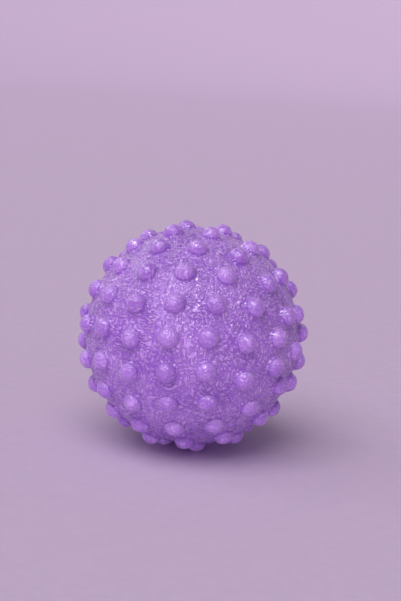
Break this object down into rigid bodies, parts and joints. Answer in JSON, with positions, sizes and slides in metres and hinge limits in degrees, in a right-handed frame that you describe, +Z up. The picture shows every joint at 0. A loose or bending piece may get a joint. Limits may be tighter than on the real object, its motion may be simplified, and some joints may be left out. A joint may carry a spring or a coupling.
{
  "type": "massage ball",
  "caption": "Hollow massage ball of soft PVC with round knobs moulded all over it, and a small air valve whose stopper pulls out.",
  "frame": {"origin": "the centre of the ball", "axes": "+Z up as the ball stands on its knobs; X along the axis that the rows of knobs run round, with the air valve at the -X pole; -Y towards the viewer of the front"},
  "size_m": [0.0875, 0.0878, 0.0878],
  "materials": {
    "purple_pvc": "satin",
    "valve_pvc": "satin",
    "plug_plastic": "satin"
  },
  "bodies": {
    "ball": {"ball_skin": "purple_pvc", "valve_bush": "valve_pvc"},
    "plug": {"valve_plug": "plug_plastic"}
  },
  "joints": [
    {"name": "plug_pull", "type": "slide", "parent": "ball", "child": "plug", "axis": [-1, 0, 0], "range_m": [0, 0.012]}
  ]
}
